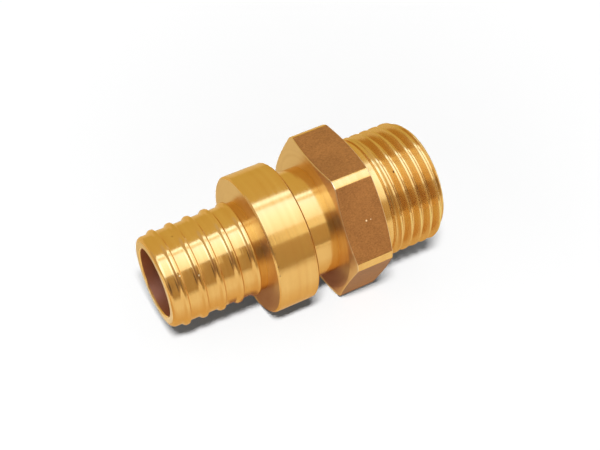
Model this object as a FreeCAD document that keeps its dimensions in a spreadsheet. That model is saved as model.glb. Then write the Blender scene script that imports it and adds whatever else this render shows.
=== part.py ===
import FreeCAD, Part

import os

import Sketcher

# Male adapter for plastic heating and water pipe, turned in one piece from hexagonal brass bar.
# The pipe is pushed over the ribbed spigot as far as the collar, and the threaded end screws
# into a female fitting until the hexagon's shoulder meets it.
#
# The axis lies along X. The origin is the centre of the shoulder, where the hexagon meets the
# threaded end: the thread runs to +X and the spigot to -X. One pair of wrench flats is level,
# square to Z. Lengths are in millimetres and angles in degrees.

NODE = "adapter_body"

# Each row is a name, a size and what the size is.
SIZES = [
    ("bore_diameter", 11.5, "plain hole from end to end"),
    ("bore_edge_chamfer", 0.2, "broken edge at both ends of the bore"),
    ("spigot_diameter", 15.2, "plain land between the ribs"),
    ("spigot_nose_size", 0.7, "outer edge of the spigot's mouth, rounded off in two bevels"),
    ("rib_diameter", 16.1, "over the ribs, a little more than the pipe's own bore"),
    ("rib_crest_width", 0.3, "level top of a rib"),
    ("rib_base_width", 1.0, "width of a rib at the land"),
    ("rib_count", 5, "ribs along the spigot"),
    ("rib_pitch", 3.05, "from rib to rib"),
    ("first_rib_offset", 2.4, "from the spigot's mouth to the middle of the first rib"),
    ("last_rib_gap", 1.7, "from the middle of the last rib to the collar"),
    ("collar_diameter", 23.5, "stop collar for the pipe"),
    ("collar_length", 7.1, "along the axis"),
    ("collar_edge_chamfer", 0.3, "broken edges of the collar"),
    ("neck_diameter", 18.35, "between the collar and the hexagon"),
    ("neck_length", 5.0, "along the axis"),
    ("hex_across_flats", 25.0, "wrench size, the width of the bar"),
    ("hex_across_corners", 28.1, "over the corners, which are turned off round"),
    ("hex_length", 7.4, "along the axis"),
    ("hex_face_diameter", 24.4, "flat part of the hexagon's end faces"),
    ("hex_chamfer_angle", 15, "slope of the hexagon's end chamfers from its end faces"),
    ("land_diameter", 20.6, "plain land between the shoulder and the thread"),
    ("land_length", 2.1, "along the axis"),
    ("thread_diameter", 20.955, "over the crests of a G 1/2 pipe thread"),
    ("thread_pitch", 1.814, "14 threads to the inch"),
    ("thread_depth_share", 0.6403, "depth of the 55 degree thread form, as a share of the pitch"),
    ("thread_flat_share", 0.1667, "width of the crest and of the root, as a share of the pitch"),
    ("thread_length", 10.2, "from the land to the end face"),
    ("thread_lead_in", 2.61, "how far past the end face the cutting of the groove starts"),
    ("thread_end_chamfer", 1.3, "at 45 degrees on the end of the thread"),
]

# Places along the axis, measured from the shoulder.
SHOULDER = "0 mm"
HEX_FRONT = "(-sizes.hex_length)"
COLLAR_BACK = f"({HEX_FRONT} - sizes.neck_length)"
COLLAR_FRONT = f"({COLLAR_BACK} - sizes.collar_length)"
RIBS_LENGTH = "((sizes.rib_count - 1) * sizes.rib_pitch)"
FIRST_RIB = f"({COLLAR_FRONT} - sizes.last_rib_gap - {RIBS_LENGTH})"
MOUTH = f"({FIRST_RIB} - sizes.first_rib_offset)"
LAND_END = "sizes.land_length"
END_FACE = f"({LAND_END} + sizes.thread_length)"

# Rise of a hexagon chamfer along the axis, out to the turned corners.
CHAMFER_RISE = "((sizes.hex_across_corners - sizes.hex_face_diameter) / 2 * tan(sizes.hex_chamfer_angle))"


def make_sheet(doc):
    """Writes the driving dimensions into a spreadsheet whose cells are named."""
    sheet = doc.addObject("Spreadsheet::Sheet", "sizes")
    for row, (name, size, meaning) in enumerate(SIZES, start=1):
        sheet.set(f"A{row}", name)
        sheet.set(f"B{row}", str(size))
        sheet.set(f"C{row}", meaning)
        sheet.setAlias(f"B{row}", name)
    doc.recompute()
    return sheet


def origin_part(body, role):
    """Finds one of the body's own origin planes or axes."""
    return next(part for part in body.Origin.OriginFeatures if part.Role == role)


def value(owner, expression):
    """Works out an expression of the sheet's sizes as a plain number."""
    return float(owner.evalExpression(expression))


def new_sketch(body, name, plane, along="0"):
    """Adds a sketch on one of the body's origin planes, moved along the plane's normal."""
    sketch = body.newObject("Sketcher::SketchObject", name)
    sketch.AttachmentSupport = [(origin_part(body, plane), "")]
    sketch.MapMode = "FlatFace"
    sketch.setExpression("AttachmentOffset.Base.z", along)
    return sketch


def bind(sketch, constraint, name, expression):
    """Adds a dimension to a sketch, names it and ties it to the sheet."""
    index = sketch.addConstraint(constraint)
    sketch.renameConstraint(index, name)
    sketch.setExpression(f"Constraints.{name}", expression)


def add_outline(sketch, corners):
    """Draws a closed outline of straight edges. Each corner is a name and two expressions: its place
    along the axis and its distance from it, where "0" keeps the corner on the axis."""
    points = [FreeCAD.Vector(value(sketch, x), value(sketch, y), 0) for name, x, y in corners]
    for start, end in zip(points, points[1:] + points[:1]):
        sketch.addGeometry(Part.LineSegment(start, end))
    for edge in range(len(points)):
        following = (edge + 1) % len(points)
        sketch.addConstraint(Sketcher.Constraint("Coincident", edge, 2, following, 1))
    for edge, (name, x, y) in enumerate(corners):
        along = Sketcher.Constraint("DistanceX", -1, 1, edge, 1, points[edge].x)
        bind(sketch, along, f"{name}_along", x)
        if y == "0":
            sketch.addConstraint(Sketcher.Constraint("PointOnObject", edge, 1, -1))
        else:
            out = Sketcher.Constraint("DistanceY", -1, 1, edge, 1, points[edge].y)
            bind(sketch, out, f"{name}_out", y)


def add_circle(sketch, name, diameter):
    """Draws a circle about the axis, sized by its diameter."""
    radius = value(sketch, diameter) / 2
    sketch.addGeometry(Part.Circle(FreeCAD.Vector(0, 0, 0), FreeCAD.Vector(0, 0, 1), radius))
    sketch.addConstraint(Sketcher.Constraint("Coincident", 0, 3, -1, 1))
    bind(sketch, Sketcher.Constraint("Diameter", 0, 2 * radius), name, diameter)


def round_edges(feature, places):
    """Names the feature's circular edges at the given places, each a pair of expressions: along the
    axis and diameter."""
    wanted = [(value(feature, along), value(feature, diameter) / 2) for along, diameter in places]
    names = []
    for number, edge in enumerate(feature.Shape.Edges, start=1):
        if not isinstance(edge.Curve, Part.Circle):
            continue
        for along, radius in wanted:
            near = abs(edge.Curve.Center.x - along) < 1e-4
            if near and abs(edge.Curve.Radius - radius) < 1e-4:
                names.append(f"Edge{number}")
    return names


def bevel_edges(body, name, places, size):
    """Bevels circular edges of the body as it stands, at 45 degrees."""
    body.Document.recompute()
    base = body.Tip
    feature = body.newObject("PartDesign::Chamfer", name)
    feature.Base = (base, round_edges(base, places))
    feature.setExpression("Size", size)


def revolve(body, sketch, name):
    """Turns a closed outline once about the axis."""
    feature = body.newObject("PartDesign::Revolution", name)
    feature.Profile = sketch
    feature.ReferenceAxis = (origin_part(body, "X_Axis"), [""])
    feature.Angle = 360
    return feature


def add_threaded_end(body):
    """The blank of the threaded end, its end chamfer and the helical groove of a right-hand thread."""
    circle = new_sketch(body, "thread_blank_sketch", "YZ_Plane", LAND_END)
    add_circle(circle, "thread_diameter", "sizes.thread_diameter")
    blank = body.newObject("PartDesign::Pad", "thread_blank")
    blank.Profile = circle
    blank.setExpression("Length", "sizes.thread_length")
    bevel_edges(body, "thread_end_chamfer", [(END_FACE, "sizes.thread_diameter")],
                "sizes.thread_end_chamfer")

    start = f"({END_FACE} + sizes.thread_lead_in)"
    half_root = "(sizes.thread_pitch * sizes.thread_flat_share / 2)"
    half_mouth = "(sizes.thread_pitch * (1 - sizes.thread_flat_share) / 2)"
    depth = "(sizes.thread_pitch * sizes.thread_depth_share)"
    # The cutter stands out of the blank by half its depth, with its flanks drawn on.
    half_top = f"({half_mouth} + ({half_mouth} - {half_root}) / 2)"
    top = f"(sizes.thread_diameter / 2 + {depth} / 2)"
    root = f"(sizes.thread_diameter / 2 - {depth})"
    cutter = new_sketch(body, "thread_groove_sketch", "XZ_Plane")
    add_outline(cutter, [
        ("root_left", f"{start} - {half_root}", root),
        ("root_right", f"{start} + {half_root}", root),
        ("top_right", f"{start} + {half_top}", top),
        ("top_left", f"{start} - {half_top}", top),
    ])
    groove = body.newObject("PartDesign::SubtractiveHelix", "thread_groove")
    groove.Profile = cutter
    groove.ReferenceAxis = (origin_part(body, "X_Axis"), [""])
    groove.Mode = "pitch-height-angle"
    groove.LeftHanded = False
    groove.Reversed = True
    groove.setExpression("Pitch", "sizes.thread_pitch")
    # One turn more than the blank needs, so that every flank leaves it at the land.
    groove.setExpression("Height", "sizes.thread_length + sizes.thread_lead_in + sizes.thread_pitch")


def add_turned_body(body):
    """Everything ahead of the thread in one turned outline: spigot, collar, neck, hexagon and land."""
    spigot = "sizes.spigot_diameter / 2"
    # The nose's bevels meet halfway round the curve that they stand for.
    nose_middle = "(sizes.spigot_nose_size * (1 - cos(45)))"
    collar = "sizes.collar_diameter / 2"
    neck = "sizes.neck_diameter / 2"
    corner = "sizes.hex_across_corners / 2"
    face = "sizes.hex_face_diameter / 2"
    land = "sizes.land_diameter / 2"
    outline = new_sketch(body, "turned_outline", "XZ_Plane")
    add_outline(outline, [
        ("mouth_axis", MOUTH, "0"),
        ("mouth", MOUTH, f"{spigot} - sizes.spigot_nose_size"),
        ("nose_middle", f"{MOUTH} + {nose_middle}", f"{spigot} - {nose_middle}"),
        ("nose_back", f"{MOUTH} + sizes.spigot_nose_size", spigot),
        ("spigot_root", COLLAR_FRONT, spigot),
        ("collar_front", COLLAR_FRONT, collar),
        ("collar_back", COLLAR_BACK, collar),
        ("neck_front", COLLAR_BACK, neck),
        ("neck_back", HEX_FRONT, neck),
        ("hex_front_face", HEX_FRONT, face),
        ("hex_front_corner", f"{HEX_FRONT} + {CHAMFER_RISE}", corner),
        ("hex_back_corner", f"-{CHAMFER_RISE}", corner),
        ("shoulder", SHOULDER, face),
        ("land_front", SHOULDER, land),
        ("land_back", LAND_END, land),
        ("land_axis", LAND_END, "0"),
    ])
    revolve(body, outline, "turned_body")


def add_wrench_flats(body):
    """Mills one flat of the hexagon and repeats it round the axis."""
    flat = "sizes.hex_across_flats / 2"
    clear = "sizes.hex_across_corners"
    sketch = new_sketch(body, "wrench_flat_sketch", "XZ_Plane")
    add_outline(sketch, [
        ("flat_front", HEX_FRONT, flat),
        ("flat_back", SHOULDER, flat),
        ("clear_back", SHOULDER, clear),
        ("clear_front", HEX_FRONT, clear),
    ])
    cut = body.newObject("PartDesign::Pocket", "wrench_flat")
    cut.Profile = sketch
    cut.SideType = "Symmetric"
    cut.setExpression("Length", "2 * sizes.hex_across_corners")
    pattern = body.newObject("PartDesign::PolarPattern", "wrench_flats")
    pattern.Originals = [cut]
    pattern.Axis = (origin_part(body, "X_Axis"), [""])
    pattern.Occurrences = 6
    body.Tip = pattern


def add_ribs(body):
    """One rib of the spigot, sunk into its wall to half the wall's depth, and its copies."""
    half_crest = "sizes.rib_crest_width / 2"
    half_base = "sizes.rib_base_width / 2"
    crest = "sizes.rib_diameter / 2"
    land = "sizes.spigot_diameter / 2"
    sunk = "(sizes.spigot_diameter + sizes.bore_diameter) / 4"
    sketch = new_sketch(body, "rib_sketch", "XZ_Plane")
    add_outline(sketch, [
        ("sunk_left", f"{FIRST_RIB} - {half_base}", sunk),
        ("base_left", f"{FIRST_RIB} - {half_base}", land),
        ("crest_left", f"{FIRST_RIB} - {half_crest}", crest),
        ("crest_right", f"{FIRST_RIB} + {half_crest}", crest),
        ("base_right", f"{FIRST_RIB} + {half_base}", land),
        ("sunk_right", f"{FIRST_RIB} + {half_base}", sunk),
    ])
    rib = revolve(body, sketch, "rib")
    pattern = body.newObject("PartDesign::LinearPattern", "ribs")
    pattern.Originals = [rib]
    pattern.Direction = (origin_part(body, "X_Axis"), [""])
    pattern.Mode = "Spacing"
    pattern.setExpression("Offset", "sizes.rib_pitch")
    pattern.setExpression("Occurrences", "sizes.rib_count")
    body.Tip = pattern


def add_bore(body):
    """The plain hole through the whole length."""
    sketch = new_sketch(body, "bore_sketch", "YZ_Plane", MOUTH)
    add_circle(sketch, "bore_diameter", "sizes.bore_diameter")
    bore = body.newObject("PartDesign::Pocket", "bore")
    bore.Profile = sketch
    bore.Reversed = True
    bore.Type = "ThroughAll"


def add_edge_breaks(body):
    """The small bevels of the collar and the bore."""
    bevel_edges(body, "collar_edges",
                [(COLLAR_FRONT, "sizes.collar_diameter"), (COLLAR_BACK, "sizes.collar_diameter")],
                "sizes.collar_edge_chamfer")
    bevel_edges(body, "bore_edges",
                [(MOUTH, "sizes.bore_diameter"), (END_FACE, "sizes.bore_diameter")],
                "sizes.bore_edge_chamfer")


def check(doc, body):
    """Stops the script if a feature failed or the finished solid isn't one sound solid."""
    for item in doc.Objects:
        if "Invalid" in item.State or "Error" in item.State:
            raise RuntimeError(f"{item.Name} failed: {item.State}")
    shape = body.Shape
    if shape.isNull() or not shape.isValid() or len(shape.Solids) != 1:
        raise RuntimeError(f"{body.Label} isn't one valid solid")


def main():
    doc = FreeCAD.newDocument("male_adapter")
    make_sheet(doc)
    body = doc.addObject("PartDesign::Body", NODE)
    body.Label = NODE
    add_threaded_end(body)
    add_turned_body(body)
    add_wrench_flats(body)
    add_ribs(body)
    add_bore(body)
    add_edge_breaks(body)
    doc.recompute()
    check(doc, body)
    os.makedirs("parts", exist_ok=True)
    body.Shape.exportStep(f"parts/{NODE}.step")
    print(f"{NODE}: {body.Shape.Volume:.1f} cubic mm, {len(body.Shape.Faces)} faces")


main()
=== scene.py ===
"""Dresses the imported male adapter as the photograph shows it: one piece of brass, turned from
hexagonal bar, lying on its hexagon and collar on white paper under soft studio lamps.

Sizes in the classes are in millimetres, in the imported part's own frame: X runs along the axis from
the spigot to the thread, X = 0 is the hexagon's shoulder, and Z is square to a wrench flat.
"""

import logging
import math
from dataclasses import dataclass, field
from enum import Enum
from typing import Any, Iterable

import bmesh
import bpy
import numpy as np
from bpy.types import Material, Mesh, Node, NodeSocket, NodeTree, Object, World
from mathutils import Matrix, Vector

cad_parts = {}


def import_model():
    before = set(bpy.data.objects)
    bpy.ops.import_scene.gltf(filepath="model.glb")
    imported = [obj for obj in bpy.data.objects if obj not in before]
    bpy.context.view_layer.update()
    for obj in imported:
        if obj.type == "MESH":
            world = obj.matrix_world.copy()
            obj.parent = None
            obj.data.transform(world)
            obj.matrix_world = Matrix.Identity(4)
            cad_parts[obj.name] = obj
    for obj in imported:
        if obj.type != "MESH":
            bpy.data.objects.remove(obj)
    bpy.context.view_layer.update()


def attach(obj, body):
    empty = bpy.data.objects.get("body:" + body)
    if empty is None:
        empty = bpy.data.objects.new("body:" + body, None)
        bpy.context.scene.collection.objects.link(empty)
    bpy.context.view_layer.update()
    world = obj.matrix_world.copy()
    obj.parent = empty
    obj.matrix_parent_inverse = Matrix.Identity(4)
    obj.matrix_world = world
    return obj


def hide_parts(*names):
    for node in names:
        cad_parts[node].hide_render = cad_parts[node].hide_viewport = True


LOG = logging.getLogger("male_adapter")
MM = 0.001
MERGE = 1e-7
SHARP_DEG = 35.0
# The hexagon's sides, and the angle from one to the next.
SIDES = 6
SIDE_DEG = 360 / SIDES
NODE = "adapter_body"
# A mark is full inside this share of its radius and fades out from there.
MARK_CORE = 0.6
WHITE = (1.0, 1.0, 1.0, 1.0)
Pair = tuple[float, float]
Triple = tuple[float, float, float]


def linear_rgb(hex_colour: str) -> tuple[float, float, float, float]:
    """Turns an sRGB hex colour into the linear colour that a shader takes.

    Args:
        hex_colour: six hex digits, such as "E5B55E".

    Returns:
        Linear red, green and blue with an alpha of 1.
    """
    channels = [int(hex_colour[i : i + 2], 16) / 255 for i in (0, 2, 4)]
    linear = [c / 12.92 if c <= 0.04045 else ((c + 0.055) / 1.055) ** 2.4 for c in channels]
    return (linear[0], linear[1], linear[2], 1.0)


def add_node(
    tree: NodeTree, kind: str, inputs: dict[Any, Any] | None = None, **settings: Any
) -> Node:
    """Adds a shader node with its settings, values and links.

    Args:
        tree: the node tree that takes the node.
        kind: Blender's name for the node type.
        inputs: value or incoming socket for each input, by name or number.
        settings: the node's own properties.

    Returns:
        The new node.
    """
    node = tree.nodes.new(kind)
    for name, value in settings.items():
        setattr(node, name, value)
    for key, value in (inputs or {}).items():
        if isinstance(value, NodeSocket):
            tree.links.new(value, node.inputs[key])
        else:
            node.inputs[key].default_value = value
    return node


def empty_nodes(owner: Material | World) -> NodeTree:
    """Gives a material or the world an empty node tree, and returns the tree."""
    owner.use_nodes = True
    owner.node_tree.nodes.clear()
    return owner.node_tree


def add_math(tree: NodeTree, operation: str, *values: NodeSocket | float) -> NodeSocket:
    """Adds a node that calculates with one or more values, and returns the result's socket."""
    node = add_node(tree, "ShaderNodeMath", dict(enumerate(values)), operation=operation)
    return node.outputs[0]


def add_range(tree: NodeTree, value: NodeSocket, start: Pair, end: Pair = (0.0, 1.0)) -> NodeSocket:
    """Adds a node that takes a value from one range to another and holds it at the ends.

    Args:
        tree: the node tree that takes the node.
        value: the value's socket.
        start: the range that it comes from.
        end: the range that it goes to.

    Returns:
        The result's socket.
    """
    ranges = {"From Min": start[0], "From Max": start[1], "To Min": end[0], "To Max": end[1]}
    return add_node(tree, "ShaderNodeMapRange", {"Value": value, **ranges}).outputs[0]


def add_mix(
    tree: NodeTree, share: NodeSocket | float, first: NodeSocket | str, second: str
) -> NodeSocket:
    """Adds a node that blends two colours.

    Args:
        tree: the node tree that takes the node.
        share: the second colour's share.
        first: the first colour, as a socket or in hex.
        second: the second colour, in hex.

    Returns:
        The blend's socket.
    """
    start = linear_rgb(first) if isinstance(first, str) else first
    # The node has inputs of the same name for each kind of value, so they go by number.
    inputs = {0: share, 6: start, 7: linear_rgb(second)}
    return add_node(tree, "ShaderNodeMix", inputs, data_type="RGBA").outputs[2]


def add_noise(
    tree: NodeTree, place: NodeSocket, scale: float, detail: float, roughness: float = 0.5
) -> NodeSocket:
    """Adds noise along a line, where the place is a single number, or in space.

    Args:
        tree: the node tree that takes the node.
        place: the place's socket.
        scale: number of large features in one unit of the place.
        detail: number of finer layers.
        roughness: strength of each layer in the one before.

    Returns:
        The noise's socket, with values about 0.5.
    """
    on_line = place.type == "VALUE"
    where = {"W" if on_line else "Vector": place}
    node = add_node(
        tree,
        "ShaderNodeTexNoise",
        {**where, "Scale": scale, "Detail": detail, "Roughness": roughness},
        noise_dimensions="1D" if on_line else "3D",
    )
    return node.outputs["Fac"]


def add_bump(tree: NodeTree, height: NodeSocket, depth: float) -> NodeSocket:
    """Adds a bump that follows a height from 0 to 1, with its depth in millimetres."""
    inputs = {"Height": height, "Distance": depth * MM, "Strength": 1.0}
    return add_node(tree, "ShaderNodeBump", inputs).outputs[0]


class Zone(Enum):
    """Parts of the surface by how they were made. The value is the mesh's material number."""

    TURNED = 0
    FACED = 1
    DRAWN = 2
    THREAD = 3
    BORED = 4
    LAND = 5


@dataclass(frozen=True)
class Corner:
    """One corner of a turned outline.

    Attributes:
        along: place on the axis.
        out: distance from the axis.
        radius: size of the round that breaks the corner.
        zone: how the stretch that leaves this corner is finished.
    """

    along: float
    out: float
    radius: float = 0.0
    zone: Zone = Zone.TURNED


@dataclass
class Ring:
    """One ring of the surface round the axis.

    Attributes:
        along: place on the axis of each column.
        out: distance from the axis of each column.
        zone: how the band that leaves this ring is finished.
        strip_zone: finish of that band on the hexagon's turned corners, where it differs.
    """

    along: np.ndarray
    out: np.ndarray
    zone: Zone
    strip_zone: Zone | None = None


@dataclass(frozen=True)
class Columns:
    """Angles of the surface's columns, from +Z towards -Y, closer at the hexagon's corners."""

    across_flats: float = 25.0
    across_corners: float = 28.1
    edge_break_deg: float = 0.3
    per_flat: int = 37
    per_corner: int = 5

    @property
    def corner_start_deg(self) -> float:
        """Angle from the middle of a flat to where the turned corner cuts it."""
        return math.degrees(math.acos(self.across_flats / self.across_corners))

    def local_degrees(self) -> np.ndarray:
        """Angles of one flat and the corner after it, from the middle of the flat."""
        start = self.corner_start_deg
        flat = np.linspace(-start + self.edge_break_deg, start - self.edge_break_deg, self.per_flat)
        corner = np.linspace(
            start + self.edge_break_deg, SIDE_DEG - start - self.edge_break_deg, self.per_corner
        )
        return np.concatenate([flat, corner])

    def all_round(self, one_flat: np.ndarray) -> np.ndarray:
        """Repeats values of one flat's columns round the axis and closes them with the first."""
        return np.append(np.tile(one_flat, SIDES), one_flat[0])

    def radians(self) -> np.ndarray:
        """Angles of all columns round the axis. The last is the first after a whole turn."""
        local = self.local_degrees()
        degrees = np.concatenate([local + SIDE_DEG * side for side in range(SIDES)])
        return np.radians(np.append(degrees, local[0] + 360))

    def on_corner(self) -> np.ndarray:
        """Whether the band after each column lies on a turned corner or its edge break."""
        one = np.zeros(self.per_flat + self.per_corner, bool)
        one[self.per_flat - 1 :] = True
        return np.tile(one, SIDES)


COLUMNS = Columns()


def rounded_outline(corners: list[Corner], steps: int = 4) -> list[Corner]:
    """Breaks the corners of a turned outline with small arcs.

    Args:
        corners: the outline in order.
        steps: straight pieces in each arc.

    Returns:
        The outline with each rounded corner replaced by the points of its arc.
    """
    path: list[Corner] = []
    for i, corner in enumerate(corners):
        here = np.array([corner.along, corner.out])
        if corner.radius <= 0 or i in (0, len(corners) - 1):
            path.append(corner)
            continue
        before = np.array([corners[i - 1].along, corners[i - 1].out]) - here
        after = np.array([corners[i + 1].along, corners[i + 1].out]) - here
        before /= np.linalg.norm(before)
        after /= np.linalg.norm(after)
        half = math.acos(max(-1.0, min(1.0, float(before @ after)))) / 2
        centre = here + (before + after) / np.linalg.norm(before + after) * (
            corner.radius / math.sin(half)
        )
        tangent = corner.radius / math.tan(half)
        start, end = here + before * tangent - centre, here + after * tangent - centre
        sweep = math.pi - 2 * half
        for step in range(steps + 1):
            turn = step / steps
            point = centre + (
                start * math.sin((1 - turn) * sweep) + end * math.sin(turn * sweep)
            ) / math.sin(sweep)
            path.append(Corner(float(point[0]), float(point[1]), 0.0, corner.zone))
    return path


def turned_rings(outline: Iterable[Corner]) -> list[Ring]:
    """Makes plain round rings from the points of a turned outline."""
    count = len(COLUMNS.radians())
    return [
        Ring(np.full(count, point.along), np.full(count, point.out), point.zone)
        for point in outline
    ]


@dataclass(frozen=True)
class Spigot:
    """The ribbed end that the pipe is pushed over, from its mouth to the collar."""

    mouth: float = -35.8
    back: float = -19.5
    diameter: float = 15.2
    nose_radius: float = 0.7
    bore_diameter: float = 11.5
    bore_break: float = 0.2
    bore_round: float = 0.06
    rib_diameter: float = 16.1
    rib_count: int = 5
    rib_pitch: float = 3.05
    first_rib: float = -33.4
    # Foot and crest of a rib from its middle with the size of the round there: a gentle rise from
    # the mouth and a steeper fall behind.
    rib_front: tuple[Pair, ...] = ((-0.66, 0.55), (-0.21, 0.35))
    rib_back: tuple[Pair, ...] = ((0.25, 0.12), (0.48, 0.12))

    def corners(self) -> list[Corner]:
        """The outline from the bore's edge over the nose and the ribs to the collar's foot."""
        land, crest, bore = self.diameter / 2, self.rib_diameter / 2, self.bore_diameter / 2
        outline = [
            Corner(self.mouth + self.bore_break, bore),
            Corner(self.mouth, bore + self.bore_break, self.bore_round, Zone.FACED),
            Corner(self.mouth, land, self.nose_radius),
        ]
        for number in range(self.rib_count):
            middle = self.first_rib + number * self.rib_pitch
            for (offset, size), out in zip(
                self.rib_front + self.rib_back, (land, crest, crest, land), strict=True
            ):
                outline.append(Corner(middle + offset, out, size))
        outline.append(Corner(self.back, land, 0.0, Zone.FACED))
        return outline


@dataclass(frozen=True)
class CollarAndNeck:
    """The stop collar for the pipe and the narrower neck behind it."""

    front: float = Spigot.back
    back: float = -12.4
    diameter: float = 23.5
    bevel: float = 0.3
    neck_diameter: float = 18.35
    neck_back: float = -7.4
    edge_round: float = 0.1
    inner_round: float = 0.15

    def corners(self) -> list[Corner]:
        """The outline from the collar's front edge to the hexagon's foot."""
        out, neck = self.diameter / 2, self.neck_diameter / 2
        return [
            Corner(self.front, out - self.bevel, self.edge_round),
            Corner(self.front + self.bevel, out, self.edge_round),
            Corner(self.back - self.bevel, out, self.edge_round),
            Corner(self.back, out - self.bevel, self.edge_round, Zone.FACED),
            Corner(self.back, neck, self.inner_round),
            Corner(self.neck_back, neck, 0.0, Zone.FACED),
        ]


@dataclass(frozen=True)
class Hexagon:
    """The wrench hexagon: six flats of drawn bar between turned corners and chamfered ends."""

    front: float = CollarAndNeck.neck_back
    across_flats: float = Columns.across_flats
    across_corners: float = Columns.across_corners
    face_diameter: float = 24.4
    chamfer_deg: float = 15.0
    edge_break: float = 0.08
    face_break: float = 0.001
    side_steps: int = 6

    def outer(self) -> np.ndarray:
        """Distance from the axis of each column on the hexagon's sides."""
        local = COLUMNS.local_degrees()
        flat = self.across_flats / 2 / np.cos(np.radians(local))
        return COLUMNS.all_round(np.minimum(flat, self.across_corners / 2))

    def end_rings(self) -> tuple[list[Ring], list[Ring]]:
        """Rings over the front end's chamfer and the same for the shoulder's, both going out.

        Returns:
            The front end's rings and the shoulder end's rings.
        """
        outer = self.outer()
        slope = math.tan(math.radians(self.chamfer_deg))
        face = self.face_diameter / 2
        shares = (
            (np.full_like(outer, face - self.face_break), 0.0),
            (np.full_like(outer, face + self.face_break), self.face_break * slope),
            (outer - self.edge_break, (outer - self.edge_break - face) * slope),
            (outer, (outer - face) * slope + self.edge_break),
        )
        front = [Ring(self.front + rise, out, Zone.FACED) for out, rise in shares]
        back = [Ring(0.0 - rise, out, Zone.FACED) for out, rise in shares]
        for ring in front + back:
            ring.along = np.broadcast_to(ring.along, outer.shape).copy()
        return front, back

    def rings(self) -> list[Ring]:
        """All rings from the front face to the shoulder."""
        front, back = self.end_rings()
        outer = self.outer()
        start, end = front[-1], back[-1]
        start.zone, start.strip_zone = Zone.DRAWN, Zone.TURNED
        between = [
            Ring(start.along + (end.along - start.along) * share, outer, Zone.DRAWN, Zone.TURNED)
            for share in np.linspace(0, 1, self.side_steps + 1)[1:-1]
        ]
        return front + between + back[::-1]


@dataclass(frozen=True)
class ThreadedEnd:
    """The male pipe thread: a right-hand 55 degree thread with flat crests, left from the blank,
    and rounded roots."""

    land_diameter: float = 20.6
    land_round: float = 0.15
    start: float = 2.1
    end: float = 12.3
    diameter: float = 20.955
    pitch: float = 1.814
    crest_at_top: float = 10.38
    flank_deg: float = 27.5
    depth_share: float = 0.6403
    round_share: float = 0.1373
    run_out: float = 1.8
    chamfer: float = 1.3
    arc_steps: int = 6
    flank_steps: int = 4

    @property
    def half_crest(self) -> float:
        """Half the width of the flat crest, which is a sixth of the pitch wide."""
        return self.pitch / 12

    def offsets(self) -> np.ndarray:
        """Places of the rows within one pitch, from a crest's near edge to the next crest."""
        tangent = self.round_share * self.pitch * math.cos(math.radians(self.flank_deg))
        lean = math.radians(90 - self.flank_deg)
        arc = np.sin(np.linspace(-lean, lean, self.arc_steps + 1)) / math.sin(lean) * tangent
        crest = np.array([-1, 1]) * self.half_crest
        root = arc + self.pitch / 2
        down = np.linspace(crest[-1], root[0], self.flank_steps + 1)[1:-1]
        up = np.linspace(root[-1], crest[0] + self.pitch, self.flank_steps + 1)[1:-1]
        return np.concatenate([crest, down, root, up])

    def form(self, offset: np.ndarray) -> np.ndarray:
        """Distance from the axis at a distance along the axis from a crest's middle."""
        size = self.round_share * self.pitch
        tangent = size * math.cos(math.radians(self.flank_deg))
        crest = self.diameter / 2
        depth = self.depth_share * self.pitch
        place = np.abs((offset + self.pitch / 2) % self.pitch - self.pitch / 2)
        near_root = self.pitch / 2 - place
        bottom = crest - depth + size - np.sqrt(np.maximum(size**2 - near_root**2, 0))
        flank = crest - (place - self.half_crest) / math.tan(math.radians(self.flank_deg))
        return np.minimum(crest, np.where(near_root < tangent, bottom, flank))

    def rings(self) -> list[Ring]:
        """Rows that follow the helix, held between the land and the end face."""
        turn = COLUMNS.radians() / (2 * math.pi)
        first = math.floor((self.start - self.crest_at_top) / self.pitch) - 2
        last = math.ceil((self.end - self.crest_at_top) / self.pitch) + 1
        rows = []
        for number in range(first, last):
            for offset in self.offsets():
                place = self.crest_at_top + number * self.pitch + offset
                along = np.clip(place + turn * self.pitch, self.start, self.end)
                form = self.form(along - self.crest_at_top - turn * self.pitch)
                cut = np.clip((along - self.start) / self.run_out, 0, 1)
                form = self.diameter / 2 - (self.diameter / 2 - form) * np.sin(cut * math.pi / 2)
                chamfer = self.diameter / 2 - self.chamfer + self.end - along
                rows.append(Ring(along, np.minimum(form, chamfer), Zone.THREAD))
        return [
            row for row in rows if np.ptp(row.along) > 0 or self.start < row.along[0] < self.end
        ]

    def land_corners(self, shoulder_out: float) -> list[Corner]:
        """The shoulder and the plain land behind the thread.

        Args:
            shoulder_out: where on the shoulder the outline starts.
        """
        return [
            Corner(0.0, shoulder_out, 0.0, Zone.FACED),
            Corner(0.0, self.land_diameter / 2, self.land_round, Zone.LAND),
            Corner(self.start, self.land_diameter / 2, 0.0, Zone.THREAD),
        ]


@dataclass(frozen=True)
class Bore:
    """The plain hole from end to end, entered from the threaded end."""

    mouth: float = Spigot.mouth
    end: float = ThreadedEnd.end
    diameter: float = Spigot.bore_diameter
    edge_break: float = Spigot.bore_break
    edge_round: float = Spigot.bore_round
    # Keeps the end face's first ring off the thread's last rows.
    face_gap: float = 0.02
    stations: int = 13

    def corners(self, thread_tip_out: float) -> list[Corner]:
        """The end face of the thread and the bore, back to the spigot's mouth.

        Args:
            thread_tip_out: distance from the axis of the end face's outer edge.
        """
        wall = self.diameter / 2
        first, last = self.end - self.edge_break, self.mouth + self.edge_break
        places = np.linspace(first, last, self.stations)
        return [
            Corner(self.end, thread_tip_out - self.face_gap, 0.0, Zone.FACED),
            Corner(self.end, wall + self.edge_break, self.edge_round),
            *[Corner(float(place), wall, 0.0, Zone.BORED) for place in places[:-1]],
        ]


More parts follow.
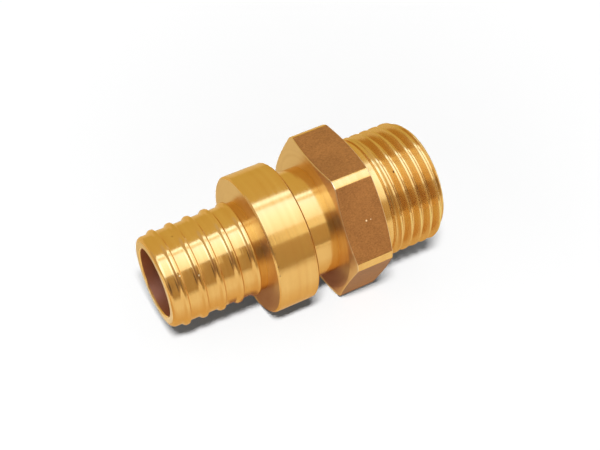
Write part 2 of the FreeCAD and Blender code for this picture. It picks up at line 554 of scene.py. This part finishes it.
@dataclass(frozen=True)
class Mark:
    """A small pit or nick in the surface.

    Attributes:
        along: place on the axis.
        turn_deg: angle round the axis, from +Z towards -Y.
        out: distance from the axis.
        radius: half its width.
    """

    along: float
    turn_deg: float
    out: float
    radius: float = 0.11

    @property
    def centre(self) -> Triple:
        """Its place in the part's frame, in metres."""
        turn = math.radians(self.turn_deg)
        return (self.along * MM, -self.out * math.sin(turn) * MM, self.out * math.cos(turn) * MM)


class Finish:
    """Base of the finishes: each makes one procedural material."""

    name = "brass"

    @staticmethod
    def share_inside(
        tree: NodeTree, place: NodeSocket, marks: tuple[Mark, ...]
    ) -> NodeSocket | float:
        """Adds nodes that give 1 inside the marks and 0 outside, with soft edges.

        Args:
            tree: the material's nodes.
            place: the place on the part.
            marks: the pits or nicks.

        Returns:
            The share's socket, or 0 where there are no marks.
        """
        share: NodeSocket | float = 0.0
        for mark in marks:
            gap = add_node(
                tree, "ShaderNodeVectorMath", {0: place, 1: mark.centre}, operation="DISTANCE"
            )
            edge = mark.radius * MM
            inside = add_range(tree, gap.outputs["Value"], (edge, edge * MARK_CORE))
            share = add_math(tree, "MAXIMUM", inside, share)
        return share

    def build(self) -> Material:
        """Makes the material and its nodes."""
        material = bpy.data.materials.new(self.name)
        tree = empty_nodes(material)
        add_node(tree, "ShaderNodeOutputMaterial", {"Surface": self.shader(tree).outputs[0]})
        return material

    def shader(self, tree: NodeTree) -> Node:
        """Builds the nodes and returns the shader that the surface shows."""
        raise NotImplementedError


@dataclass(frozen=True)
class LatheBrass(Finish):
    """Free-cutting brass as a lathe leaves it: bright, with rings of tool marks that stretch
    reflections along the axis while their edges round the part stay sharp."""

    name: str = "lathe_turned_brass"
    colour: str = "EABA6C"
    shade: str = "E4AF60"
    edge_tint: str = "F9EDCB"
    pit: str = "7A4A20"
    # Colour in the nicks: fresh metal, painted pale as a bright glint.
    bare_and_glint: str = "F6D898"
    # A thin film of oxide and dust keeps the darkest reflections from going orange.
    metallic: float = 0.93
    roughness: float = 0.12
    roughness_change: float = 0.06
    anisotropy: float = 0.0
    # The radial tangent runs round the axis, and a quarter turn stretches reflections along it.
    stretch_turn: float = 0.25
    # Real feed marks are about 0.1 mm apart. They are drawn 0.45 mm apart, as finer ones don't
    # show.
    mark_pitch: float = 0.45
    mark_depth: float = 0.006
    mark_range: Pair = (0.3, 0.7)
    # Bands of uneven shade from the cut are about 1 mm wide, clouds of tarnish about 6 mm.
    bands_per_mm: float = 0.9
    clouds_per_metre: float = 160.0
    shade_range: Pair = (0.1, 0.45)
    nick_roughness: float = 0.6
    pits: tuple[Mark, ...] = ()
    nicks: tuple[Mark, ...] = ()

    def shader(self, tree: NodeTree) -> Node:
        """Marks follow the outline, cloudy tarnish follows the place on the part."""
        lathe = add_node(tree, "ShaderNodeAttribute", attribute_name="lathe_mm").outputs["Fac"]
        place = add_node(tree, "ShaderNodeTexCoord").outputs["Object"]
        fine = add_noise(tree, lathe, 1 / self.mark_pitch, detail=2.0, roughness=0.6)
        broad = add_noise(tree, lathe, self.bands_per_mm, detail=2.0)
        tarnish = add_noise(tree, place, self.clouds_per_metre, detail=4.0, roughness=0.6)
        share = add_range(tree, add_math(tree, "MULTIPLY", tarnish, broad), self.shade_range)
        pitted = self.share_inside(tree, place, self.pits)
        nick_and_glint = self.share_inside(tree, place, self.nicks)
        colour = add_mix(tree, share, self.colour, self.shade)
        colour = add_mix(tree, pitted, colour, self.pit)
        # The nicks take the pale colour, a painted glint on real nicks.
        colour = add_mix(tree, nick_and_glint, colour, self.bare_and_glint)
        rings = (self.roughness, self.roughness + self.roughness_change)
        sheen = add_range(tree, fine, self.mark_range, rings)
        roughness = add_node(
            tree, "ShaderNodeMix", {0: nick_and_glint, 2: sheen, 3: self.nick_roughness}, data_type="FLOAT"
        )
        tangent = add_node(tree, "ShaderNodeTangent", direction_type="RADIAL", axis="X")
        return add_node(
            tree,
            "ShaderNodeBsdfPrincipled",
            {
                "Base Color": colour,
                "Metallic": self.metallic,
                "Roughness": roughness.outputs[0],
                "Specular Tint": linear_rgb(self.edge_tint),
                "Anisotropic": self.anisotropy,
                "Anisotropic Rotation": self.stretch_turn,
                "Normal": add_bump(tree, fine, self.mark_depth),
                "Tangent": tangent.outputs[0],
            },
        )


@dataclass(frozen=True)
class DrawnBarBrass(Finish):
    """The drawn bar's own skin: dull, brownish with oxide, with a fine grain along the bar and a few
    nicks of fresh metal, painted pale as bright glints."""

    name: str = "drawn_bar_brass"
    colour: str = "BA7A3A"
    shade: str = "865420"
    metallic: float = 0.55
    roughness: float = 0.5
    # The skin's grain is about 0.05 mm across and is drawn at 0.2 mm, the least that shows.
    grain: float = 0.2
    grain_depth: float = 0.006
    # The grain runs 1 / 0.7 times as far along the bar as across it. Clouds of oxide are about
    # 5 mm wide.
    grain_along: float = 0.7
    clouds_per_metre: float = 220.0
    cloud_share: float = 0.5
    shade_range: Pair = (0.45, 1.05)
    # Colour in the nicks: fresh metal, painted pale as a bright glint.
    bare_and_glint: str = "FFE6AE"
    nicks: tuple[Mark, ...] = ()

    def shader(self, tree: NodeTree) -> Node:
        """Grain drawn out along the bar over broad clouds of oxide."""
        place = add_node(tree, "ShaderNodeTexCoord").outputs["Object"]
        drawn = add_node(
            tree, "ShaderNodeMapping", {"Vector": place, "Scale": (self.grain_along, 1.0, 1.0)}
        ).outputs[0]
        grain = add_noise(tree, drawn, 1 / (self.grain * MM), detail=2.0, roughness=0.6)
        cloud = add_noise(tree, place, self.clouds_per_metre, detail=3.0)
        blend = add_math(tree, "MULTIPLY_ADD", cloud, self.cloud_share, grain)
        share = add_range(tree, blend, self.shade_range)
        colour = add_mix(tree, share, self.colour, self.shade)
        nick_and_glint = self.share_inside(tree, place, self.nicks)
        return add_node(
            tree,
            "ShaderNodeBsdfPrincipled",
            {
                "Base Color": add_mix(tree, nick_and_glint, colour, self.bare_and_glint),
                "Metallic": self.metallic,
                "Roughness": self.roughness,
                "Normal": add_bump(tree, grain, self.grain_depth),
            },
        )


@dataclass
class AdapterBody:
    """The whole adapter as one closed surface: its parts follow each other along the outline."""

    spigot: Spigot = field(default_factory=Spigot)
    collar: CollarAndNeck = field(default_factory=CollarAndNeck)
    hexagon: Hexagon = field(default_factory=Hexagon)
    thread: ThreadedEnd = field(default_factory=ThreadedEnd)
    bore: Bore = field(default_factory=Bore)

    def rings(self) -> list[Ring]:
        """All rings in order: out of the bore, along the outside and back down the bore."""
        hexagon = self.hexagon.rings()
        hexagon_foot = Corner(self.hexagon.front, float(hexagon[0].out[0]))
        shoulder_out = float(hexagon[-1].out[0])
        front = rounded_outline(
            [*self.spigot.corners(), *self.collar.corners(), hexagon_foot], steps=5
        )
        land = rounded_outline(self.thread.land_corners(shoulder_out))
        tip = self.thread.diameter / 2 - self.thread.chamfer
        inside = rounded_outline(self.bore.corners(tip))
        return [
            *turned_rings(front[:-1]),
            *hexagon,
            *turned_rings(land[1:]),
            *self.thread.rings(),
            *turned_rings(inside),
        ]

    def mesh(self) -> Mesh:
        """Joins the rings into a closed mesh with a finish on each face.

        Returns:
            The mesh, in metres.
        """
        rings = self.rings()
        angles = COLUMNS.radians()
        along = np.stack([ring.along for ring in rings])
        out = np.stack([ring.out for ring in rings])
        count, columns = along.shape
        points = np.stack([along, -out * np.sin(angles), out * np.cos(angles)], -1).reshape(-1, 3)
        row, column = np.divmod(np.arange(count * (columns - 1)), columns - 1)
        here, beyond = row * columns + column, (row + 1) % count * columns + column
        faces = np.stack([here, beyond, beyond + 1, here + 1], -1)
        corner = COLUMNS.on_corner()
        zones = np.array(
            [
                np.where(corner, (ring.strip_zone or ring.zone).value, ring.zone.value)
                for ring in rings
            ]
        ).reshape(-1)
        step = np.hypot(np.diff(along.mean(1)), np.diff(out.mean(1)))
        lathe = np.repeat(np.concatenate([[0.0], np.cumsum(step)]), columns)
        return self.join(points * MM, faces, zones, lathe)

    @staticmethod
    def join(
        points: np.ndarray, faces: np.ndarray, zones: np.ndarray, lathe: np.ndarray
    ) -> Mesh:
        """Writes the grid to a mesh and merges the rows that the helix's ends fold together.

        Args:
            points: vertices in metres.
            faces: four vertex numbers for each face.
            zones: material number of each face.
            lathe: distance along the outline of each vertex, in millimetres.

        Returns:
            The closed mesh.
        """
        mesh = bpy.data.meshes.new("adapter_surface")
        mesh.from_pydata(points.tolist(), [], faces.tolist())
        mesh.polygons.foreach_set("material_index", zones.astype(np.int32))
        mesh.attributes.new("lathe_mm", "FLOAT", "POINT").data.foreach_set(
            "value", lathe.astype(np.float32)
        )
        shape = bmesh.new()
        shape.from_mesh(mesh)
        bmesh.ops.remove_doubles(shape, verts=shape.verts, dist=MERGE)
        bmesh.ops.recalc_face_normals(shape, faces=shape.faces)
        shape.to_mesh(mesh)
        shape.free()
        mesh.polygons.foreach_set("use_smooth", np.ones(len(mesh.polygons), bool))
        mesh.set_sharp_from_angle(angle=math.radians(SHARP_DEG))
        return mesh

    def build(self, finishes: dict[Zone, Material]) -> Object:
        """Makes the piece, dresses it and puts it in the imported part's place.

        Args:
            finishes: the material of each zone.

        Returns:
            The adapter's object.
        """
        piece = bpy.data.objects.new("adapter_brass", self.mesh())
        bpy.context.scene.collection.objects.link(piece)
        for zone in Zone:
            piece.data.materials.append(finishes[zone])
        shading = piece.modifiers.new("flat_faces_stay_flat", "WEIGHTED_NORMAL")
        shading.keep_sharp = True
        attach(piece, "root")
        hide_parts(NODE)
        return piece


@dataclass(frozen=True)
class PhotoCamera:
    """The camera that took the photograph, fitted to the part's edges. Its place is in
    millimetres, and it shows what lies between its two clip distances, in metres."""

    eye: Triple = (-71.683, -130.512, 132.342)
    right: Triple = (0.8788, -0.47392, -0.05574)
    up: Triple = (0.35755, 0.5766, 0.73464)
    back: Triple = (-0.31602, -0.66553, 0.67617)
    lens: float = 71.6
    clip: Pair = (0.01, 20.0)

    def build(self) -> None:
        """Makes the scene's camera."""
        data = bpy.data.cameras.new("photo_camera")
        data.lens = self.lens
        data.clip_start, data.clip_end = self.clip
        camera = bpy.data.objects.new("photo_camera", data)
        turn = Matrix((self.right, self.up, self.back)).transposed()
        camera.matrix_world = Matrix.Translation(Vector(self.eye) * MM) @ turn.to_4x4()
        bpy.context.scene.collection.objects.link(camera)
        bpy.context.scene.camera = camera


class Change(Enum):
    """Ways in which a card's glow may change: along one of its axes or out from its middle."""

    X = "X"
    Y = "Y"
    Z = "Z"
    OUTWARD = "outward"


def make_sheet(
    name: str,
    points: list[Vector] | list[Triple],
    material: Material,
    faces: list[tuple[int, ...]] | None = None,
) -> Object:
    """Adds an object of flat faces to the scene.

    Args:
        name: the object's name.
        points: its corners, in metres.
        material: what it is made of.
        faces: numbers of each face's corners, or nothing for a single face with four.

    Returns:
        The object.
    """
    mesh = bpy.data.meshes.new(name)
    mesh.from_pydata(points, [], faces or [(0, 1, 2, 3)])
    mesh.materials.append(material)
    sheet = bpy.data.objects.new(name, mesh)
    bpy.context.scene.collection.objects.link(sheet)
    return sheet


@dataclass(frozen=True)
class Reflection:
    """Base of the softboxes, cards and walls, which only mirrors show.

    Attributes:
        name: name of the object.
        glow: brightness at the start and at the end of its change, as a mirror shows it, where 1
            is white.
        colours: colour at the same two.
    """

    name: str
    glow: Pair
    colours: tuple[str, str]

    def light(self, way: Change, change: Pair) -> Material:
        """Makes a glow whose brightness and colour change over the object.

        Args:
            way: the direction of the change.
            change: where the change starts and ends, in metres.

        Returns:
            The material.
        """
        material = bpy.data.materials.new(self.name)
        tree = empty_nodes(material)
        place = add_node(tree, "ShaderNodeTexCoord").outputs["Object"]
        if way is Change.OUTWARD:
            length = add_node(tree, "ShaderNodeVectorMath", {0: place}, operation="LENGTH")
            along = length.outputs["Value"]
        else:
            along = add_node(tree, "ShaderNodeSeparateXYZ", {0: place}).outputs[way.value]
        share = add_range(tree, along, change)
        strength = add_range(tree, share, (0.0, 1.0), self.glow)
        colour = add_mix(tree, share, *self.colours)
        light = add_node(tree, "ShaderNodeEmission", {"Color": colour, "Strength": strength})
        add_node(tree, "ShaderNodeOutputMaterial", {"Surface": light.outputs[0]})
        return material

    @staticmethod
    def show_to_mirrors(card: Object) -> None:
        """Hides a card from all but mirrors."""
        card.visible_camera = False
        card.visible_diffuse = False
        card.visible_shadow = False


@dataclass(frozen=True)
class KeyLamp:
    """The lamp that lights the paper and draws the tight shadow in front of the part. Mirrors show
    the softboxes in its place.

    Attributes:
        towards: direction from the part to the lamp.
        size: length along the part's axis and width, in metres, which soften the shadow's edge.
        distance: from the part, in metres.
        paper_light: share of full white that it gives to white paper under it.
    """

    towards: Triple = (-0.2, -0.49, 0.871)
    size: Pair = (0.32, 0.13)
    distance: float = 1.2
    paper_light: float = 0.93

    def build(self, floor_normal: Vector) -> None:
        """Makes the lamp, facing the part.

        Args:
            floor_normal: direction straight up from the paper.
        """
        outward = Vector(self.towards).normalized()
        data = bpy.data.lights.new("key_lamp", "AREA")
        data.shape = "RECTANGLE"
        data.size, data.size_y = self.size
        data.energy = self.paper_light * math.pi**2 * self.distance**2 / outward.dot(floor_normal)
        lamp = bpy.data.objects.new("key_lamp", data)
        along = (Vector((1, 0, 0)) - outward * outward.x).normalized()
        turn = Matrix((along, outward.cross(along), outward)).transposed()
        lamp.matrix_world = Matrix.Translation(outward * self.distance) @ turn.to_4x4()
        lamp.visible_glossy = False
        bpy.context.scene.collection.objects.link(lamp)


@dataclass(frozen=True)
class Softbox(Reflection):
    """A long softbox beside the part's axis, placed by how far it turns from straight up towards
    the camera's side. Its edges draw the bright bands along the turned surfaces.

    Attributes:
        turn: turn of its first and last edge from straight up towards -Y, in degrees. Its glow
            changes from one to the other.
        reach: where it begins and ends along the part's axis, in millimetres.
        distance: from the axis, in millimetres.
    """

    turn: Pair
    reach: Pair = (-878.0, 878.0)
    distance: float = 500.0

    def build(self) -> None:
        """Makes the softbox, facing the part's axis."""
        half = self.distance * math.tan(math.radians(self.turn[1] - self.turn[0]) / 2) * MM
        start, end = self.reach[0] * MM, self.reach[1] * MM
        points = [(start, half, 0), (start, -half, 0), (end, -half, 0), (end, half, 0)]
        box = make_sheet(self.name, points, self.light(Change.Y, (half, -half)))
        middle = math.radians(sum(self.turn) / 2)
        outward = Vector((0, -math.sin(middle), math.cos(middle)))
        along = Vector((1, 0, 0))
        turn = Matrix((along, outward.cross(along), outward)).transposed()
        box.matrix_world = Matrix.Translation(outward * self.distance * MM) @ turn.to_4x4()
        self.show_to_mirrors(box)


@dataclass(frozen=True)
class StudioCard(Reflection):
    """A plain card beside the part, bent along its length.

    Attributes:
        bends: distance sideways, towards +Y, and height over the floor of each bend, in
            millimetres.
        change: where its glow changes, in millimetres.
        reach: where the card begins and ends along the part's axis, in millimetres.
        way: Change.X for a change along the part's axis, Change.Y for one across it.
    """

    bends: tuple[Pair, ...]
    change: Pair = (-900.0, 900.0)
    reach: Pair = (-900.0, 900.0)
    way: Change = Change.X

    def build(self, origin: Vector, up: Vector) -> None:
        """Makes the card.

        Args:
            origin: a point of the floor, in metres.
            up: the floor's normal.
        """
        side = Vector((0, 1, 0))
        along = side.cross(up)
        points = [
            origin + (along * end + side * out + up * height) * MM
            for end in self.reach
            for out, height in self.bends
        ]
        count = len(self.bends)
        faces = [(i, i + 1, count + i + 1, count + i) for i in range(count - 1)]
        light = self.light(self.way, (self.change[0] * MM, self.change[1] * MM))
        self.show_to_mirrors(make_sheet(self.name, points, light, faces))


@dataclass(frozen=True)
class DarkSpot(Reflection):
    """The dark place on the wall behind the camera. It gives the dark streaks beside the ribs and
    in the corners behind the spigot and the neck.

    Attributes:
        centre: its middle, in millimetres.
        foot: height of its lower edge, in millimetres.
        spread: distance from the middle at which it begins to fade and ends, in millimetres.
    """

    centre: Triple
    foot: float
    spread: Pair

    def build(self) -> None:
        """Makes the card, upright and facing the part."""
        half, low = self.spread[1] * MM, (self.foot - self.centre[2]) * MM
        points = [(-half, 0, low), (half, 0, low), (half, 0, half), (-half, 0, half)]
        light = self.light(Change.OUTWARD, (self.spread[0] * MM, self.spread[1] * MM))
        card = make_sheet(self.name, points, light)
        card.location = Vector(self.centre) * MM
        self.show_to_mirrors(card)


@dataclass(frozen=True)
class EndWall(Reflection):
    """A wall across one end of the studio.

    Attributes:
        place: where it stands along the part's axis, in millimetres.
        change: heights between which its glow changes, in metres.
        half_width: half its width, in millimetres.
        heights: height of its lower and upper edge, in millimetres.
    """

    place: float
    change: Pair
    half_width: float = 900.0
    heights: Pair = (-50.0, 1000.0)

    def build(self) -> None:
        """Makes the wall, upright and square to the part's axis."""
        side, (low, high) = self.half_width, self.heights
        corners = ((-side, low), (side, low), (side, high), (-side, high))
        points = [Vector((self.place, out, up)) * MM for out, up in corners]
        light = self.light(Change.Z, self.change)
        self.show_to_mirrors(make_sheet(self.name, points, light))


@dataclass
class Studio:
    """White paper, a white surround, a lamp and the boxes and cards that shape the reflections.

    Attributes:
        body: the part that lies in the studio.
        paper: colour of the paper.
        paper_half: half the side of its sheet, in metres.
        paper_glow: what the camera and mirrors see on top of the light that the paper gets.
        paper_fades: distances from the part between which that rises to full white, in metres.
        surround_light: the surround's fill light, as a share of full white.
    """

    body: AdapterBody
    paper: str = "F7F7F7"
    paper_half: float = 3.0
    paper_glow: float = 0.05
    paper_fades: Pair = (0.04, 0.6)
    surround_light: float = 0.12
    key_lamp: KeyLamp = field(default_factory=KeyLamp)
    softboxes: tuple[Softbox, ...] = (
        Softbox("top_softbox", (4.4, 4.4), ("A9C4FF", "A9C4FF"), (-12.5, -5.5)),
        Softbox("softbox_seam", (1.5, 1.5), ("E4EEFF", "E4EEFF"), (-5.5, 1.6)),
        Softbox("side_softbox", (4.0, 1.95), ("9FC0FF", "D6E4FF"), (1.6, 43.0), (-100.0, 878.0)),
        Softbox("mouth_softbox", (6.0, 3.0), ("9FC0FF", "B4CEFF"), (1.6, 43.0), (-878.0, -100.0)),
        Softbox(
            "low_softbox", (1.12, 1.12), ("FFFFF0", "FFFFF0"), (43.0, 60.4), (21.5, 46.0), 150.0
        ),
        Softbox(
            "low_softbox_end", (2.1, 1.9), ("D6E4FF", "D6E4FF"), (43.0, 60.4), (46.0, 400.0), 150.0
        ),
    )
    cards: tuple[StudioCard, ...] = (
        StudioCard(
            "back_and_ceiling",
            (0.69, 0.69),
            ("FFEFA8", "FFEFA8"),
            ((700.0, 1.0), (700.0, 900.0), (-810.0, 900.0)),
        ),
        StudioCard(
            "paper_behind_part", (0.84, 0.84), ("FFF2D4", "FFF2D4"), ((14.0, 1.0), (700.0, 1.0))
        ),
        StudioCard(
            "room_behind_camera",
            (0.44, 0.57),
            ("FFE3B2", "FFE3B2"),
            ((-88.0, 1.0), (-800.0, 1.0), (-800.0, 872.0)),
            (225.0, 290.0),
        ),
        StudioCard(
            "paper_edge",
            (0.55, 0.97),
            ("FFF0D8", "FFFFFF"),
            ((-90.0, 0.4), (-40.0, 0.4)),
            (-88.0, -45.0),
            (-75.0, 12.0),
            Change.Y,
        ),
        # The paper under the part as mirrors see it. Dimmer and warmer towards the part: a painted
        # shadow, with painted warm light thrown back by the brass.
        StudioCard(
            "paper_glow_and_shade_under_part",
            (0.97, 0.8),
            ("FFFFFF", "FFE4BC"),
            ((-40.0, 0.5), (0.0, 0.5)),
            (-20.0, -8.0),
            (-80.0, 40.0),
            Change.Y,
        ),
        StudioCard(
            "shade_under_collar",
            (0.8, 0.33),
            ("FFE4BC", "FFC4B0"),
            ((-8.0, 0.8), (14.0, 0.8)),
            (-8.0, -4.5),
            (-24.5, -18.5),
            Change.Y,
        ),
        StudioCard(
            "shade_under_hexagon",
            (0.8, 0.2),
            ("FFE4BC", "FFB4B0"),
            ((-8.0, 0.8), (14.0, 0.8)),
            (-8.0, -5.0),
            (-12.0, -6.0),
            Change.Y,
        ),
        StudioCard(
            "glow_under_thread",
            (1.2, 1.0),
            ("F0FFFF", "F4F8E0"),
            ((-40.0, 0.9), (0.0, 0.9)),
            (-20.0, -8.0),
            (14.0, 60.0),
            Change.Y,
        ),
        StudioCard(
            "dim_paper_before_mouth",
            (0.2, 0.9),
            ("FFD8C0", "FFF0D8"),
            ((-420.0, 1.5), (-30.0, 1.5)),
            (-150.0, -75.0),
            (-878.0, -75.0),
        ),
    )
    dark_spot: DarkSpot = DarkSpot(
        "dark_spot",
        (0.02, 0.47),
        ("D898C8", "FFE3B2"),
        centre=(-330.0, -795.0, 300.0),
        foot=-10.0,
        spread=(90.0, 400.0),
    )
    end_walls: tuple[EndWall, ...] = (
        # Dim, to keep the steep sides of the ribs dark.
        EndWall("spigot_end_wall", (0.24, 0.66), ("FFC8C0", "FFF6EE"), -880.0, (0.15, 0.27)),
        # Mirrored by the thread's valleys: dim up to the height of the part, bright above it.
        EndWall("thread_end_wall", (0.35, 2.4), ("BFA3FF", "BBD4FF"), 880.0, (0.0, 0.05)),
    )

    def resting_plane(self) -> tuple[Vector, Vector]:
        """The floor under the part as it lies: on the collar's front edge and on the front edge
        of the lowest flat, because its weight falls just ahead of the flat.

        Returns:
            A point on the floor, in metres, and the floor's normal.
        """
        collar, hexagon = self.body.collar, self.body.hexagon
        rise = (hexagon.across_flats - hexagon.face_diameter) / 2 * math.tan(
            math.radians(hexagon.chamfer_deg)
        )
        edge = Vector((hexagon.front + rise, 0, -hexagon.across_flats / 2))
        rim = Vector((collar.front + collar.bevel, 0, -collar.diameter / 2))
        along = edge - rim
        return edge * MM, Vector((-along.z, 0, along.x)).normalized()

    def build(self) -> None:
        """Makes the floor, the surround, the lamp, the softboxes, the cards and the walls."""
        point, normal = self.resting_plane()
        self.build_floor(point, normal)
        self.build_surround()
        self.key_lamp.build(normal)
        for box in self.softboxes:
            box.build()
        origin = Vector((0, 0, point.z + normal.x / normal.z * point.x))
        for card in self.cards:
            card.build(origin, normal)
        for wall in (self.dark_spot, *self.end_walls):
            wall.build()

    def build_floor(self, point: Vector, normal: Vector) -> None:
        """Lays a wide sheet of matt white paper under the part.

        Args:
            point: a point of the paper, in metres.
            normal: the paper's normal.
        """
        side = Vector((0, 1, 0))
        along = side.cross(normal)
        corners = [
            point + along * self.paper_half * a + side * self.paper_half * b
            for a, b in ((-1, -1), (-1, 1), (1, 1), (1, -1))
        ]
        material = bpy.data.materials.new("matt_white_paper")
        tree = empty_nodes(material)
        paper = add_node(tree, "ShaderNodeBsdfDiffuse", {"Color": linear_rgb(self.paper)})
        place = add_node(tree, "ShaderNodeTexCoord").outputs["Object"]
        away = add_node(tree, "ShaderNodeVectorMath", {0: place}, operation="LENGTH")
        whiteness = add_range(tree, away.outputs["Value"], self.paper_fades, (self.paper_glow, 1.0))
        strength = add_math(tree, "MULTIPLY", self.seen_directly(tree), whiteness)
        glow = add_node(tree, "ShaderNodeEmission", {"Color": WHITE, "Strength": strength})
        both = add_node(tree, "ShaderNodeAddShader", {0: paper.outputs[0], 1: glow.outputs[0]})
        add_node(tree, "ShaderNodeOutputMaterial", {"Surface": both.outputs[0]})
        floor = make_sheet("white_paper", corners, material)

    @staticmethod
    def seen_directly(tree: NodeTree) -> NodeSocket:
        """Adds nodes that give 1 where the camera, a mirror or glass shows the surface."""
        path = add_node(tree, "ShaderNodeLightPath").outputs
        seen = add_math(tree, "MAXIMUM", path["Is Camera Ray"], path["Is Glossy Ray"])
        return add_math(tree, "MAXIMUM", seen, path["Is Transmission Ray"])

    def build_surround(self) -> None:
        """Makes the world white where it is seen, and a plain soft fill light elsewhere."""
        world = bpy.data.worlds.new("white_surround")
        tree = empty_nodes(world)
        seen = self.seen_directly(tree)
        strength = add_range(tree, seen, (0.0, 1.0), (self.surround_light, 1.0))
        light = add_node(tree, "ShaderNodeBackground", {"Color": WHITE, "Strength": strength})
        add_node(tree, "ShaderNodeOutputWorld", {"Surface": light.outputs[0]})
        bpy.context.scene.world = world


def make_finishes() -> dict[Zone, Material]:
    """Makes the finish of each zone. The marks stand where the photograph shows them."""
    finishes = {
        # Turned along the outside: mirror-like bands along the axis, faint rings round it.
        Zone.TURNED: LatheBrass(
            pits=(
                Mark(-31.45, -3.2, 7.6, 0.12),
                Mark(-19.04, 58.4, 11.7),
                Mark(-19.13, 69.2, 11.7, 0.14),
                Mark(-19.15, 77.1, 11.7, 0.12),
            ),
            # Two nicks on the ribs, painted pale as bright glints.
            nicks=(Mark(-33.34, 47.8, 8.05, 0.15), Mark(-30.47, 55.3, 8.05, 0.15)),
        ),
        # Faced across the ends: paler and satin, with reflections drawn out from the axis.
        Zone.FACED: LatheBrass(
            "faced_brass",
            "E8C48E",
            "DFB982",
            roughness=0.28,
            roughness_change=0.01,
            mark_depth=0.0004,
            anisotropy=0.6,
            # A nick at the mouth's edge, painted pale as a bright glint.
            nicks=(Mark(-35.8, -158.9, 6.1, 0.3),),
        ),
        # The bar's own skin: dull brown with two nicks on the front flat, painted pale as bright
        # glints.
        Zone.DRAWN: DrawnBarBrass(
            nicks=(Mark(-3.37, 60.6, 12.5, 0.17), Mark(-2.59, 60.8, 12.5, 0.1))
        ),
        # Cut with a threading tool: a soft sheen that smears round each groove.
        Zone.THREAD: LatheBrass(
            "thread_cut_brass",
            "E8BD73",
            "DFB066",
            roughness=0.2,
            anisotropy=0.9,
            pits=(Mark(4.84, 32.9, 10.3, 0.24),),
        ),
        # Scuffed by nuts and washers: turned brass that has lost its sharpest shine.
        Zone.LAND: LatheBrass("scuffed_land_brass", roughness=0.2),
        # Bored and never touched again: dull. Its colour is painted darker and redder for the shade
        # and the red light bouncing round inside the hole.
        Zone.BORED: LatheBrass("bored_brass_painted_shade", "C48058", "B4704A", roughness=0.5),
    }
    return {zone: finish.build() for zone, finish in finishes.items()}


def main() -> None:
    """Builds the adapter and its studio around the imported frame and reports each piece."""
    logging.basicConfig(level=logging.INFO, format="%(message)s")
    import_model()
    PhotoCamera().build()
    body = AdapterBody()
    piece = body.build(make_finishes())
    LOG.info("%s: %d faces", piece.name, len(piece.data.polygons))
    Studio(body).build()
    LOG.info("studio: floor, surround, lamp, softboxes, cards and walls")
    bpy.context.scene.view_settings.view_transform = "Standard"
    # Light that the brass throws on the paper would only show as noise.
    bpy.context.scene.cycles.caustics_reflective = False


if __name__ == "__main__":
    main()
